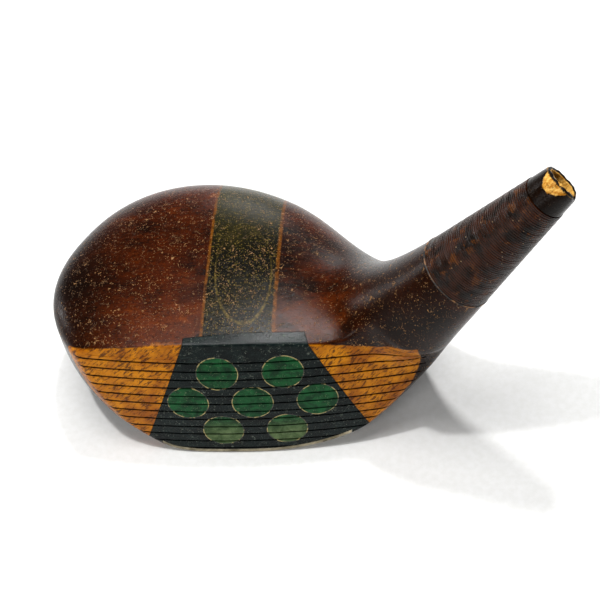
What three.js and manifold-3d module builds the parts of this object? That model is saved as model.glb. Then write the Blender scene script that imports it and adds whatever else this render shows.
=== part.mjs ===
// Antique wooden driver head, right-handed, without its shaft.
// Millimetres. +X runs from toe to heel, +Y from the face to the back, +Z up.
// The origin is on the flat of the sole plate, in line with the middle of the face.

import * as THREE from 'three';
import { mergeVertices } from 'three/addons/utils/BufferGeometryUtils.js';
import Module from 'manifold-3d';

// ---------------------------------------------------------------- driving dimensions

const GAP = 0.3; // clearance kept between touching pieces

// Body: a pillow with a turned oval outline.
const BODY_CENTRE = { x: -8.9, y: 8.8 };
const BODY_TURN = THREE.MathUtils.degToRad(-31.8);
const TOE_HALF = 47.2;
const HEEL_HALF = 52.5;
const FRONT_HALF = 41.3;
const BACK_HALF = 42.9;
const TOE_FRONT_POWER = 2.38;
const TOE_BACK_POWER = 2.13;
const HEEL_FRONT_POWER = 2.05;
const HEEL_BACK_POWER = 1.81;
const CROWN_HEIGHT = 41.5;
const CROWN_POWER = 2.42;
const BELLY_HEIGHT = 24.5;
const BELLY_FALL_HEELWARD = 0.028;
const BELLY_FALL_BACKWARD = 0.157;
const KEEL_HEIGHT = -17.4; // where the underside would meet if no sole were cut
const KEEL_POWER = 2.41;
const PILLOW_SCALE = 22.8; // turns the pillow's ratio into roughly millimetres

// Neck: a cone on a slanted axis, with a shallow channel where the thread is wound.
// Below the step its middle sags and sweeps back, with the square of the distance.
const LIE = THREE.MathUtils.degToRad(54.8);
const NECK_FOOT = new THREE.Vector3(15.4, -6.4, 0);
const NECK_START = 21;
const NECK_STEP = 70.6;
const NECK_END = 112;
const NECK_STEP_RADIUS = 10.7;
const NECK_END_RADIUS = 5.3;
const NECK_FLARE = 0.152; // growth of the radius per millimetre below the step
const NECK_SAG = 0.0011;
const NECK_SWEEP = 0.0051;
const NECK_BLEND = 19.6;

// The keeper: a flared post round the neck, inside which the face isn't cut.
const KEEPER_START = 33;
const KEEPER_START_RADIUS = 8;
const KEEPER_BROADEST = 56;
const KEEPER_BROADEST_RADIUS = 15.2;
const KEEPER_END_RADIUS = 11.6;

// Whipping: a wound sleeve that fills the channel.
const WHIP_THICKNESS = 0.7;
const BARE_END = 6.5; // bare wooden collar above the winding

// Shaft bore.
const BORE_RADIUS = 3.9;
const BORE_BOTTOM = 32;

// Face: part of a large ball.
const FACE_CENTRE = new THREE.Vector3(0, -20.9, 20.1);
const FACE_LOFT = THREE.MathUtils.degToRad(13.9);
const FACE_BALL = 245;
const FACE_WASTE = 36; // depth of the block that is planed away in front of it

// Score lines.
const SCORE_COUNT = 12;
const SCORE_PITCH = 2.98;
const SCORE_WIDTH = 0.55;
const SCORE_DEPTH = 0.45;
const SCORE_TOP = 14.5; // the highest line, measured up the face from its centre
const SCORE_TOE = -58;
const SCORE_HEEL = 48;

// Insert: a trapezoid with a flat back. It widens down the face by each side's slope.
const INSERT_TOP = 20.1;
const INSERT_TOE = 17.7;
const INSERT_TOE_SLOPE = 0.376;
const INSERT_HEEL = 16.1;
const INSERT_HEEL_SLOPE = 0.504;
const INSERT_DEPTH = 4.2;
const INSERT_TURN = THREE.MathUtils.degToRad(2.2);

// Pegs: seven-sixteenths-inch dowels in rows of two, three and two.
const PEG_RADIUS = 5.55;
const PEG_DEPTH = 9;
const PEG_SPACING = 18;
const PEG_ROW = 10.8;

// Sole: flat in the middle, and rising on an arc towards toe and heel.
const SOLE_MIDDLE = -6;
const SOLE_FLAT_HALF = 8;
const SOLE_ARC = 65;
const SOLE_STEP = 2; // spacing of the arc's facets

// Sole plate.
const PLATE_THICKNESS = 1.4;
const PLATE_HALF = 27;
const PLATE_BACK = 26;

// Sole screws: countersunk, slotted.
const SCREW_PLACES = [[-21, -16], [0, -14], [22, -9], [-15, 4.5], [15, 4.5], [0, 19]];
const SCREW_TURN = 0.9; // each slot stands at another angle
const SCREW_HEAD_RADIUS = 2.9;
const SCREW_SHANK_RADIUS = 1.4;
const SCREW_LENGTH = 11;
const SCREW_SINK = 0.2; // how far the head lies above the sole
const SLOT_WIDTH = 0.8;
const SLOT_DEPTH = 0.7;

// Lead weight under the plate.
const WEIGHT_RADIUS = 8;
const WEIGHT_HEIGHT = 8;
const WEIGHT_PLACE = [-3, 3];

// Mesh density.
const RING_SIDES = 44;
const TOE_RINGS = 8;
const BODY_RINGS = 22;
const ROUND_SIDES = 24; // pegs, bore and weight
const SCREW_SIDES = 16;
const KEEPER_SIDES = 36;

// ---------------------------------------------------------------- solids

const wasm = await Module();
wasm.setup();

function toSolid(geometry) {
  const bare = geometry.clone();
  bare.deleteAttribute('normal');
  bare.deleteAttribute('uv');
  const merged = mergeVertices(bare, 1e-5);
  return new wasm.Manifold(new wasm.Mesh({
    numProp: 3,
    vertProperties: new Float32Array(merged.attributes.position.array),
    triVerts: new Uint32Array(merged.index.array),
  }));
}

function toGeometry(solid) {
  const mesh = solid.getMesh();
  const geometry = new THREE.BufferGeometry();
  geometry.setAttribute('position', new THREE.BufferAttribute(mesh.vertProperties, 3));
  geometry.setIndex(new THREE.BufferAttribute(mesh.triVerts, 1));
  geometry.computeVertexNormals();
  return geometry;
}

function placed(geometry, matrix) {
  return toSolid(geometry.clone().applyMatrix4(matrix));
}

// ---------------------------------------------------------------- body and neck shape

const neckAxis = new THREE.Vector3(Math.cos(LIE), 0, Math.sin(LIE));
const neckUp = new THREE.Vector3(-Math.sin(LIE), 0, Math.cos(LIE));

// Neck frame: Z runs up the neck from its foot.
const neckFrame = new THREE.Matrix4().makeBasis(
  new THREE.Vector3(0, 1, 0),
  neckUp,
  neckAxis,
).setPosition(NECK_FOOT);

function alongNeck(distance) {
  return NECK_FOOT.clone().addScaledVector(neckAxis, distance);
}

function outerNeckRadius(along) {
  if (along < NECK_STEP) {
    return NECK_STEP_RADIUS + (NECK_STEP - along) * NECK_FLARE;
  }
  const share = (along - NECK_STEP) / (NECK_END - NECK_STEP);
  return THREE.MathUtils.lerp(NECK_STEP_RADIUS, NECK_END_RADIUS, share);
}

function coreNeckRadius(along) {
  const wound = along > NECK_STEP && along < NECK_END - BARE_END;
  return outerNeckRadius(along) - (wound ? WHIP_THICKNESS + GAP : 0);
}

// Below zero inside the pillow, above zero outside it.
function pillow(point) {
  const dx = point.x - BODY_CENTRE.x;
  const dy = point.y - BODY_CENTRE.y;
  const x = dx * Math.cos(BODY_TURN) + dy * Math.sin(BODY_TURN);
  const y = dy * Math.cos(BODY_TURN) - dx * Math.sin(BODY_TURN);
  const length = x < 0 ? TOE_HALF : HEEL_HALF;
  const depth = y < 0 ? FRONT_HALF : BACK_HALF;
  const toePower = y < 0 ? TOE_FRONT_POWER : TOE_BACK_POWER;
  const heelPower = y < 0 ? HEEL_FRONT_POWER : HEEL_BACK_POWER;
  const power = x < 0 ? toePower : heelPower;
  const outline = (Math.abs(x / length) ** power + Math.abs(y / depth) ** power) ** (1 / power);
  const belly = BELLY_HEIGHT - BELLY_FALL_HEELWARD * x - BELLY_FALL_BACKWARD * y;
  const above = point.z > belly;
  const height = above ? CROWN_HEIGHT - belly : belly - KEEL_HEIGHT;
  const bulge = above ? CROWN_POWER : KEEL_POWER;
  const rise = Math.abs(point.z - belly) / height;
  return ((outline ** bulge + rise ** bulge) ** (1 / bulge) - 1) * PILLOW_SCALE;
}

function neck(point) {
  const fromFoot = point.clone().sub(NECK_FOOT);
  const along = fromFoot.dot(neckAxis);
  const curve = Math.max(NECK_STEP - along, 0) ** 2;
  fromFoot.addScaledVector(neckUp, NECK_SAG * curve);
  fromFoot.y -= NECK_SWEEP * curve;
  const radius = fromFoot.addScaledVector(neckAxis, -along).length();
  return Math.max(radius - coreNeckRadius(along), NECK_START - along);
}

function smoothUnion(a, b, reach) {
  const near = Math.max(reach - Math.abs(a - b), 0) / reach;
  return Math.min(a, b) - near ** 3 * reach / 6;
}

function blankShape(point) {
  return smoothUnion(pillow(point), neck(point), NECK_BLEND);
}

// The point where a ray from inside the blank comes out of it.
function reachSurface(start, direction) {
  const at = (distance) => blankShape(start.clone().addScaledVector(direction, distance));
  let inside = 0;
  let outside = 1;
  while (at(outside) < 0) {
    inside = outside;
    outside += 1;
  }
  for (let turn = 0; turn < 24; turn += 1) {
    const middle = (inside + outside) / 2;
    if (at(middle) < 0) {
      inside = middle;
    } else {
      outside = middle;
    }
  }
  return start.clone().addScaledVector(direction, (inside + outside) / 2);
}

// Rays leave a spine that runs from the toe, through the heel and up the neck.
function surfaceRing(start, along, lean) {
  const side = new THREE.Vector3(0, 1, 0).addScaledVector(along, -along.y).normalize();
  const up = along.clone().cross(side);
  const ring = [];
  for (let i = 0; i < RING_SIDES; i += 1) {
    const angle = i / RING_SIDES * 2 * Math.PI;
    const direction = side.clone().multiplyScalar(Math.cos(angle))
      .addScaledVector(up, Math.sin(angle))
      .multiplyScalar(Math.cos(lean))
      .addScaledVector(along, -Math.sin(lean));
    ring.push(reachSurface(start, direction));
  }
  return ring;
}

function blankRings() {
  const spine = new THREE.CatmullRomCurve3([
    new THREE.Vector3(-30, 9, 23),
    new THREE.Vector3(-10.5, 8, 23),
    new THREE.Vector3(9, 3.5, 23),
    new THREE.Vector3(23, -3.5, 25.5),
    alongNeck(42),
    alongNeck(56),
    alongNeck(NECK_STEP - 0.01),
  ]);
  const rings = [];
  const toe = spine.getPointAt(0);
  const toeAlong = spine.getTangentAt(0);
  for (let i = 1; i < TOE_RINGS; i += 1) {
    rings.push(surfaceRing(toe, toeAlong, (1 - i / TOE_RINGS) * Math.PI / 2));
  }
  for (let i = 0; i <= BODY_RINGS; i += 1) {
    const share = i / BODY_RINGS;
    const along = i < BODY_RINGS ? spine.getTangentAt(share) : neckAxis;
    rings.push(surfaceRing(spine.getPointAt(share), along, 0));
  }
  const collar = NECK_END - BARE_END;
  for (const along of [NECK_STEP + 0.01, collar - 0.01, collar + 0.01, NECK_END]) {
    rings.push(surfaceRing(alongNeck(along), neckAxis, 0));
  }
  return { rings, toePole: reachSurface(toe, toeAlong.clone().negate()) };
}

function blankGeometry() {
  const { rings, toePole } = blankRings();
  const points = [toePole, ...rings.flat(), alongNeck(NECK_END)];
  const faces = [];
  const vertex = (ring, side) => 1 + ring * RING_SIDES + side % RING_SIDES;
  for (let side = 0; side < RING_SIDES; side += 1) {
    faces.push(0, vertex(0, side + 1), vertex(0, side));
    for (let ring = 0; ring < rings.length - 1; ring += 1) {
      const corner = vertex(ring, side);
      const next = vertex(ring, side + 1);
      const farCorner = vertex(ring + 1, side);
      const farNext = vertex(ring + 1, side + 1);
      faces.push(corner, next, farNext, corner, farNext, farCorner);
    }
    faces.push(points.length - 1, vertex(rings.length - 1, side), vertex(rings.length - 1, side + 1));
  }
  const geometry = new THREE.BufferGeometry().setFromPoints(points);
  geometry.setIndex(faces);
  return geometry;
}

// ---------------------------------------------------------------- the face

const faceNormal = new THREE.Vector3(0, -Math.cos(FACE_LOFT), Math.sin(FACE_LOFT));

// Face frame: X along the face, Y up the face, Z out of it.
const faceFrame = new THREE.Matrix4().makeBasis(
  new THREE.Vector3(1, 0, 0),
  new THREE.Vector3(0, Math.sin(FACE_LOFT), Math.cos(FACE_LOFT)),
  faceNormal,
).setPosition(FACE_CENTRE);

function onFace(x, up, out) {
  return faceFrame.clone().multiply(new THREE.Matrix4().makeTranslation(x, up, out));
}

// Everything in front of the face's ball, sunk by a depth: a block with a dished back.
function inFrontOfFace(depth) {
  const block = new THREE.BoxGeometry(132, 88, FACE_WASTE, 10, 7, 1);
  const spots = block.attributes.position;
  for (let i = 0; i < spots.count; i += 1) {
    const sphere = Math.sqrt((FACE_BALL - depth) ** 2 - spots.getX(i) ** 2 - spots.getY(i) ** 2);
    spots.setZ(i, spots.getZ(i) < 0 ? sphere - FACE_BALL : FACE_WASTE);
  }
  return placed(block, faceFrame);
}

function neckKeeper() {
  const profile = [
    new THREE.Vector2(0, KEEPER_START),
    new THREE.Vector2(KEEPER_START_RADIUS, KEEPER_START),
    new THREE.Vector2(KEEPER_BROADEST_RADIUS, KEEPER_BROADEST),
    new THREE.Vector2(KEEPER_END_RADIUS, NECK_END + 5),
    new THREE.Vector2(0, NECK_END + 5),
  ];
  return placed(new THREE.LatheGeometry(profile, KEEPER_SIDES).rotateX(Math.PI / 2), neckFrame);
}

function scoreLines() {
  const bars = [];
  for (let i = 0; i < SCORE_COUNT; i += 1) {
    const bar = new THREE.BoxGeometry(SCORE_HEEL - SCORE_TOE, SCORE_WIDTH, 24);
    bars.push(placed(bar, onFace((SCORE_HEEL + SCORE_TOE) / 2, SCORE_TOP - i * SCORE_PITCH, 4)));
  }
  return wasm.Manifold.union(bars).intersect(inFrontOfFace(SCORE_DEPTH));
}

function insertBlock(margin) {
  const toe = -INSERT_TOE - margin;
  const heel = INSERT_HEEL + margin;
  const above = 10;
  const below = 52;
  const outline = new THREE.Shape();
  outline.moveTo(toe + above * INSERT_TOE_SLOPE, INSERT_TOP + above);
  outline.lineTo(toe - below * INSERT_TOE_SLOPE, INSERT_TOP - below);
  outline.lineTo(heel + below * INSERT_HEEL_SLOPE, INSERT_TOP - below);
  outline.lineTo(heel - above * INSERT_HEEL_SLOPE, INSERT_TOP + above);
  const block = new THREE.ExtrudeGeometry(outline, { depth: 30, bevelEnabled: false });
  block.translate(0, 0, -INSERT_DEPTH - margin);
  block.rotateY(INSERT_TURN);
  return placed(block, faceFrame);
}

function pegPlaces() {
  const places = [];
  for (const [row, count] of [[1, 2], [0, 3], [-1, 2]]) {
    for (let i = 0; i < count; i += 1) {
      places.push([(i - (count - 1) / 2) * PEG_SPACING, row * PEG_ROW]);
    }
  }
  return places;
}

function pegBlock([x, up], margin) {
  const length = PEG_DEPTH + margin + 10;
  const radius = PEG_RADIUS + margin;
  const dowel = new THREE.CylinderGeometry(radius, radius, length, ROUND_SIDES);
  dowel.rotateX(Math.PI / 2);
  return placed(dowel, onFace(x, up, length / 2 - PEG_DEPTH - margin));
}

// ---------------------------------------------------------------- the sole

function soleRun(x) {
  return Math.max(Math.abs(x - SOLE_MIDDLE) - SOLE_FLAT_HALF, 0) * Math.sign(x - SOLE_MIDDLE);
}

function soleHeight(x) {
  return soleRun(x) ** 2 / (2 * SOLE_ARC);
}

// Everything under the sole.
function belowSole() {
  const outline = new THREE.Shape();
  outline.moveTo(-90, -60);
  outline.lineTo(90, -60);
  for (let x = 90; x >= -90; x -= SOLE_STEP) {
    outline.lineTo(x, soleHeight(x));
  }
  const block = new THREE.ExtrudeGeometry(outline, { depth: 200, bevelEnabled: false });
  return toSolid(block.rotateX(Math.PI / 2).translate(0, 100, 0));
}

function plateBlock(margin) {
  const half = PLATE_HALF + margin;
  const back = PLATE_BACK + margin;
  const outline = new THREE.Shape();
  const waist = 17.5 + margin;
  const shoulder = 14 + margin;
  outline.moveTo(-half, -36);
  outline.lineTo(half, -36);
  outline.lineTo(half, -17.5);
  outline.bezierCurveTo(half, -3.5, waist, 5, shoulder, 16.5);
  outline.bezierCurveTo(shoulder - 3.5, back + 2.5, 3.5 - shoulder, back + 2.5, -shoulder, 16.5);
  outline.bezierCurveTo(-waist, 5, -half, -3.5, -half, -17.5);
  const block = new THREE.ExtrudeGeometry(outline, { depth: 24, bevelEnabled: false, curveSegments: 10 });
  block.translate(0, 0, -14);
  return toSolid(block);
}

function screwGeometry(margin) {
  const head = SCREW_HEAD_RADIUS + margin;
  const shank = SCREW_SHANK_RADIUS + margin;
  const foot = margin > 0 ? -1 : SCREW_SINK;
  const profile = [
    new THREE.Vector2(0, foot),
    new THREE.Vector2(head, foot),
    new THREE.Vector2(head, SCREW_SINK + 0.3),
    new THREE.Vector2(shank, SCREW_SINK + 2.1),
    new THREE.Vector2(shank, SCREW_LENGTH - 2 + margin),
    new THREE.Vector2(0, SCREW_LENGTH + margin),
  ];
  const screw = new THREE.LatheGeometry(profile, SCREW_SIDES);
  return screw.rotateX(Math.PI / 2);
}

// Where a screw stands: on the sole, square to it.
function screwFrame([x, y]) {
  const lean = Math.atan(soleRun(x) / SOLE_ARC);
  return new THREE.Matrix4().makeRotationY(-lean).setPosition(x, y, soleHeight(x));
}

function screwHole(place) {
  return placed(screwGeometry(GAP), screwFrame(place));
}

function soleScrew(angle) {
  const slot = new THREE.BoxGeometry(20, SLOT_WIDTH, SLOT_DEPTH * 2);
  slot.translate(0, 0, SCREW_SINK);
  return toSolid(screwGeometry(0)).subtract(toSolid(slot.rotateZ(angle)));
}

function weightBlock(margin) {
  const bottom = PLATE_THICKNESS + GAP;
  const height = WEIGHT_HEIGHT + (margin > 0 ? margin + 2 : 0);
  const radius = WEIGHT_RADIUS + margin;
  const slug = new THREE.CylinderGeometry(radius, radius, height, ROUND_SIDES);
  slug.rotateX(Math.PI / 2);
  const low = margin > 0 ? bottom - 2 : bottom;
  return placed(slug, new THREE.Matrix4().makeTranslation(...WEIGHT_PLACE, low + height / 2));
}

// ---------------------------------------------------------------- whipping and bore

function whippingGeometry() {
  const low = NECK_STEP + GAP;
  const high = NECK_END - BARE_END - GAP;
  const profile = [
    new THREE.Vector2(outerNeckRadius(low) - WHIP_THICKNESS, low),
    new THREE.Vector2(outerNeckRadius(low), low),
    new THREE.Vector2(outerNeckRadius(high), high),
    new THREE.Vector2(outerNeckRadius(high) - WHIP_THICKNESS, high),
    new THREE.Vector2(outerNeckRadius(low) - WHIP_THICKNESS, low),
  ];
  return new THREE.LatheGeometry(profile, RING_SIDES).rotateX(Math.PI / 2);
}

function boreBlock() {
  const length = NECK_END - BORE_BOTTOM + 5;
  const drill = new THREE.CylinderGeometry(BORE_RADIUS, BORE_RADIUS, length, ROUND_SIDES);
  drill.rotateX(Math.PI / 2);
  drill.translate(0, 0, BORE_BOTTOM + length / 2);
  return placed(drill, neckFrame);
}

// ---------------------------------------------------------------- pieces

const blank = toSolid(blankGeometry());
const shaped = blank.subtract(inFrontOfFace(0).subtract(neckKeeper())).subtract(belowSole());
const scores = scoreLines();
const places = pegPlaces();

// The whole shape lifted, whose underside bounds what lies along the sole.
function raised(height) {
  return shaped.translate(0, 0, height);
}

function headBlock() {
  let wood = shaped.subtract(scores);
  wood = wood.subtract(insertBlock(GAP));
  for (const place of places) {
    wood = wood.subtract(pegBlock(place, GAP));
  }
  const plateRecess = plateBlock(GAP).subtract(raised(PLATE_THICKNESS + GAP));
  wood = wood.subtract(plateRecess);
  for (const place of SCREW_PLACES) {
    wood = wood.subtract(screwHole(place));
  }
  return wood.subtract(weightBlock(GAP)).subtract(boreBlock());
}

function faceInsert() {
  let slab = insertBlock(0).intersect(shaped).intersect(raised(PLATE_THICKNESS + GAP));
  slab = slab.subtract(scores);
  for (const place of places) {
    slab = slab.subtract(pegBlock(place, GAP));
  }
  return slab;
}

function facePeg(place) {
  return pegBlock(place, 0).intersect(shaped).subtract(scores);
}

function solePlate() {
  let plate = plateBlock(0).intersect(shaped).subtract(raised(PLATE_THICKNESS));
  for (const place of SCREW_PLACES) {
    plate = plate.subtract(screwHole(place));
  }
  return plate;
}

function finish(color, roughness, metalness) {
  return new THREE.MeshStandardMaterial({ color, roughness, metalness });
}

function addMesh(group, name, geometry, material) {
  const mesh = new THREE.Mesh(geometry, material);
  mesh.name = name;
  group.add(mesh);
  return mesh;
}

const head = new THREE.Group();

addMesh(head, 'head_block', toGeometry(headBlock()), finish(0x5a2414, 0.4, 0));
addMesh(head, 'face_insert', toGeometry(faceInsert()), finish(0x10181d, 0.4, 0));
places.forEach((place, i) => {
  addMesh(head, `face_peg_${i + 1}`, toGeometry(facePeg(place)), finish(0x14613a, 0.4, 0));
});
addMesh(head, 'sole_plate', toGeometry(solePlate()), finish(0xb9a777, 0.35, 1));
SCREW_PLACES.forEach((place, i) => {
  const screw = toGeometry(soleScrew(i * SCREW_TURN));
  const mesh = addMesh(head, `sole_screw_${i + 1}`, screw, finish(0xb59a55, 0.35, 1));
  mesh.applyMatrix4(screwFrame(place));
});
addMesh(head, 'sole_weight', toGeometry(weightBlock(0)), finish(0x6b6d70, 0.6, 1));
const whipping = addMesh(head, 'whipping', whippingGeometry(), finish(0x2a1c14, 0.6, 0));
whipping.applyMatrix4(neckFrame);

export default head;
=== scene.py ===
# Antique wooden driver head: the looks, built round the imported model.
# Meshes are made in millimetres in the shared frame and brought to metres at the end:
# +X from toe to heel, +Y from the face to the back, +Z up, the sole at z = 0.

import math

import bpy
import numpy as np
from mathutils import Matrix, Vector


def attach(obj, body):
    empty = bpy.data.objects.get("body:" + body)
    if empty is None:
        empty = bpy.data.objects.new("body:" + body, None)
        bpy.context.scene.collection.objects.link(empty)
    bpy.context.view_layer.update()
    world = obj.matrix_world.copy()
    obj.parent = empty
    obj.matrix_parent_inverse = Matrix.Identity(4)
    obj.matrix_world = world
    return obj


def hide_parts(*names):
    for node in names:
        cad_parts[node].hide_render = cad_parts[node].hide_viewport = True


# ---------------------------------------------------------------- driving dimensions, in mm

MM = 0.001

# Body: a pillow with a turned oval outline.
# Most of its numbers, the neck's and the face's are rounded from a script's fit to the photograph.
BODY_CENTRE = (-8.9, 8.8)
BODY_TURN = math.radians(-31.8)
TOE_HALF = 47.2
HEEL_HALF = 52.5
FRONT_HALF = 41.3
BACK_HALF = 42.9
TOE_FRONT_POWER = 2.38
TOE_BACK_POWER = 2.13
HEEL_FRONT_POWER = 2.05
HEEL_BACK_POWER = 1.81
CROWN_HEIGHT = 41.5
CROWN_POWER = 2.42
BELLY_HEIGHT = 24.5
BELLY_FALL_HEELWARD = 0.028
BELLY_FALL_BACKWARD = 0.157
KEEL_HEIGHT = -17.4
KEEL_POWER = 2.41
PILLOW_SCALE = 22.8

# Neck: a cone on a slanted axis, with a channel for the thread.
# Below the step its middle sags and sweeps back, with the square of the distance.
LIE = math.radians(54.8)
NECK_AXIS = np.array([math.cos(LIE), 0, math.sin(LIE)])
NECK_UP = np.array([-math.sin(LIE), 0, math.cos(LIE)])
NECK_BACK = np.array([0.0, 1, 0])
NECK_FOOT = np.array([15.4, -6.4, 0])
NECK_START = 21
NECK_STEP = 70.6
NECK_END = 112
NECK_STEP_RADIUS = 10.7
NECK_END_RADIUS = 5.15
NECK_FLARE = 0.152
NECK_SAG = 0.0011
NECK_SWEEP = 0.0051
NECK_BLEND = 19.6
CHANNEL_DEPTH = 0.8
BARE_END = 6.5
RIM_SLANT = 1.7
RIM_LONGEST = math.radians(144)
CHIP_ANGLE = math.radians(124)
BORE_RADIUS = 3.9
BORE_BOTTOM = 32

# Face: part of a large ball, which the neck grows out of.
FACE_LOFT = math.radians(13.9)
FACE_CENTRE = np.array([0, -20.9, 20.1])
FACE_NORMAL = np.array([0, -math.cos(FACE_LOFT), math.sin(FACE_LOFT)])
FACE_UP = np.array([0, math.sin(FACE_LOFT), math.cos(FACE_LOFT)])
FACE_SIDE = np.array([1.0, 0, 0])
FACE_BALL = 245
BALL_CENTRE = FACE_CENTRE - FACE_NORMAL * FACE_BALL
FACE_EDGE = 0.9
SOLE_EDGE = 1.2
KEEPER_LOW = 24
KEEPER_HIGH = 58
KEEPER_MARGIN = 1.5
KEEPER_BLEND = 9

# Score lines.
SCORE_COUNT = 12
SCORE_PITCH = 2.98
SCORE_TOP = 14.5
SCORE_WIDTH = 0.52
SCORE_DEPTH = 0.42
SCORE_TOE = -58
SCORE_HEEL = 48
FAINT_LINE = 15.9

# Insert and pegs.
INSERT_TOP = 20.1
INSERT_TOE = 17.7
INSERT_TOE_SLOPE = 0.376
INSERT_HEEL = 16.1
INSERT_HEEL_SLOPE = 0.504
INSERT_DEPTH = 4.2
INSERT_TURN = math.radians(2.2)
INSERT_GAP = 0.12
PEG_RADIUS = 5.55
PEG_DEPTH = 9
PEG_SPACING = 18
PEG_ROW = 10.8
GLUE_WIDTH = 0.3

# Sole: flat in the middle, and rising on an arc towards toe and heel.
SOLE_MIDDLE = -6
SOLE_FLAT_HALF = 8
SOLE_ARC = 65
PLATE_THICKNESS = 1.4
PLATE_HALF = 27
PLATE_BACK = 26
PLATE_WAIST = 17.5
PLATE_SHOULDER = 14
PLATE_CORNER = -17.5  # Y where the sides begin to curve in
PLATE_TAIL = 16.5  # Y where they meet the round back
SCREW_PLACES = [(-21, -16), (0, -14), (22, -9), (-15, 4.5), (15, 4.5), (0, 19)]
SCREW_RADIUS = 2.9
SCREW_TURN = 0.9
WEIGHT_PLACE = (-3, 3)
POCKET_RADIUS = 8.3
POCKET_TOP = 10.4

# Whipping.
THREAD_PITCH = 0.62
THREAD_PROUD = 0.13

# Crown stripe and its oval outline.
STRIPE_HALF = 9.7
STRIPE_LEFT = -2.8
STRIPE_LEAN = 0.055
STRIPE_START = -12
OVAL_CENTRE = (-1.3, 8.5)
OVAL_HALF_WIDTH = 7.8
OVAL_HALF_LENGTH = 17

# Painted edges of the ochre face: height of the topline by X, and X of the heel end by height.
# A script worked these points out from the edges in the photograph.
TOPLINE = [(-50, 33), (-47.9, 34.3), (-40.4, 36.7), (-31.9, 38.1), (-17.3, 39.7), (16.3, 38.6),
           (24.8, 37.6), (32.9, 36.5), (36.8, 38), (40.7, 40), (43.9, 40.2)]
HEEL_LINE = [(2, 30), (7.4, 34), (11.6, 38.5), (18.1, 42.3), (23.4, 45), (28.9, 46.4), (35, 46.2),
             (39.1, 45.5)]

# Camera, fitted to the photograph by a script.
CAMERA_TARGET = np.array([13.609, 8.908, 26.731])
CAMERA_DISTANCE = 393.75
CAMERA_BACK = Vector((0.04042, -0.58992, 0.80644))
CAMERA_UP = Vector((0.03552, 0.80744, 0.58886))
CAMERA_LENS = 82.9

# Studio: each light's name, place and width in metres, and power in watts.
STUDIO_LIGHTS = [
    ("overhead", (-0.05, 0.05, 0.75), 0.34, 2.4),
    ("behind", (0.08, 0.92, 0.3), 0.3, 1.3),
    ("front", (-0.5, -0.75, 0.6), 0.45, 3.2),
    ("topline_spark", (0.07, 0.27, 0.77), 0.07, 3.4),
    ("heel_spark", (-0.18, 0.03, 0.8), 0.04, 2.4),
    ("neck_spark", (-0.85, 0.36, 0.16), 0.12, 1.1),
]
STUDIO_AIM = (0, 0, 0.03)
FLOOR_HALF = 3
SKY_LIGHT = 0.14  # the sky's strength as light
SKY_SEEN = 0.8  # the sky's strength where the camera sees it

# Mesh density.
SIDES = 300
SCAN_SIDES = 720
TOE_RINGS = 44
BODY_RINGS = 112

# ---------------------------------------------------------------- shape fields, below zero inside


def along_neck(distance):
    return NECK_FOOT + NECK_AXIS * distance


def outer_neck_radius(along):
    share = (along - NECK_STEP) / (NECK_END - NECK_STEP)
    upper = NECK_STEP_RADIUS + (NECK_END_RADIUS - NECK_STEP_RADIUS) * share
    lower = NECK_STEP_RADIUS + (NECK_STEP - along) * NECK_FLARE
    return np.where(along < NECK_STEP, lower, upper)


def smooth_union(a, b, reach):
    near = np.maximum(reach - np.abs(a - b), 0) / reach
    return np.minimum(a, b) - near**3 * reach / 6


def smooth_overlap(a, b, reach):
    return -smooth_union(-a, -b, reach)


def pillow(points):
    dx = points[..., 0] - BODY_CENTRE[0]
    dy = points[..., 1] - BODY_CENTRE[1]
    x = dx * math.cos(BODY_TURN) + dy * math.sin(BODY_TURN)
    y = dy * math.cos(BODY_TURN) - dx * math.sin(BODY_TURN)
    length = np.where(x < 0, TOE_HALF, HEEL_HALF)
    depth = np.where(y < 0, FRONT_HALF, BACK_HALF)
    toe_power = np.where(y < 0, TOE_FRONT_POWER, TOE_BACK_POWER)
    heel_power = np.where(y < 0, HEEL_FRONT_POWER, HEEL_BACK_POWER)
    power = np.where(x < 0, toe_power, heel_power)
    outline = (np.abs(x / length) ** power + np.abs(y / depth) ** power) ** (1 / power)
    belly = BELLY_HEIGHT - BELLY_FALL_HEELWARD * x - BELLY_FALL_BACKWARD * y
    above = points[..., 2] > belly
    height = np.where(above, CROWN_HEIGHT - belly, belly - KEEL_HEIGHT)
    bulge = np.where(above, CROWN_POWER, KEEL_POWER)
    rise = np.abs(points[..., 2] - belly) / height
    return ((outline**bulge + rise**bulge) ** (1 / bulge) - 1) * PILLOW_SCALE


def from_neck_axis(points):
    offset = points - NECK_FOOT
    along = offset @ NECK_AXIS
    radius = np.linalg.norm(offset - along[..., None] * NECK_AXIS, axis=-1)
    return along, radius


def blank(points):
    offset = points - NECK_FOOT
    along = offset @ NECK_AXIS
    curve = np.maximum(NECK_STEP - along, 0)[..., None] ** 2
    offset = offset + NECK_UP * NECK_SAG * curve - NECK_BACK * NECK_SWEEP * curve
    radius = np.linalg.norm(offset - along[..., None] * NECK_AXIS, axis=-1)
    neck = np.maximum(radius - outer_neck_radius(along), NECK_START - along)
    return smooth_union(pillow(points), neck, NECK_BLEND)


# Below zero behind the face, and round the neck, which the face doesn't cut.
def behind_face(points):
    along, radius = from_neck_axis(points)
    share = np.clip((along - KEEPER_LOW) / (KEEPER_HIGH - KEEPER_LOW), 0, 1)
    reach = outer_neck_radius(along) + KEEPER_MARGIN
    keeper = radius - reach * share**2 * (3 - 2 * share) - 0.4 * (share - 1)
    ball = np.linalg.norm(points - BALL_CENTRE, axis=-1) - FACE_BALL
    return smooth_union(ball, keeper, KEEPER_BLEND)


def faced(points):
    return smooth_overlap(blank(points), behind_face(points), FACE_EDGE)


def sole_run(x):
    return np.maximum(np.abs(x - SOLE_MIDDLE) - SOLE_FLAT_HALF, 0) * np.sign(x - SOLE_MIDDLE)


def sole_height(x):
    return sole_run(x) ** 2 / (2 * SOLE_ARC)


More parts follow.
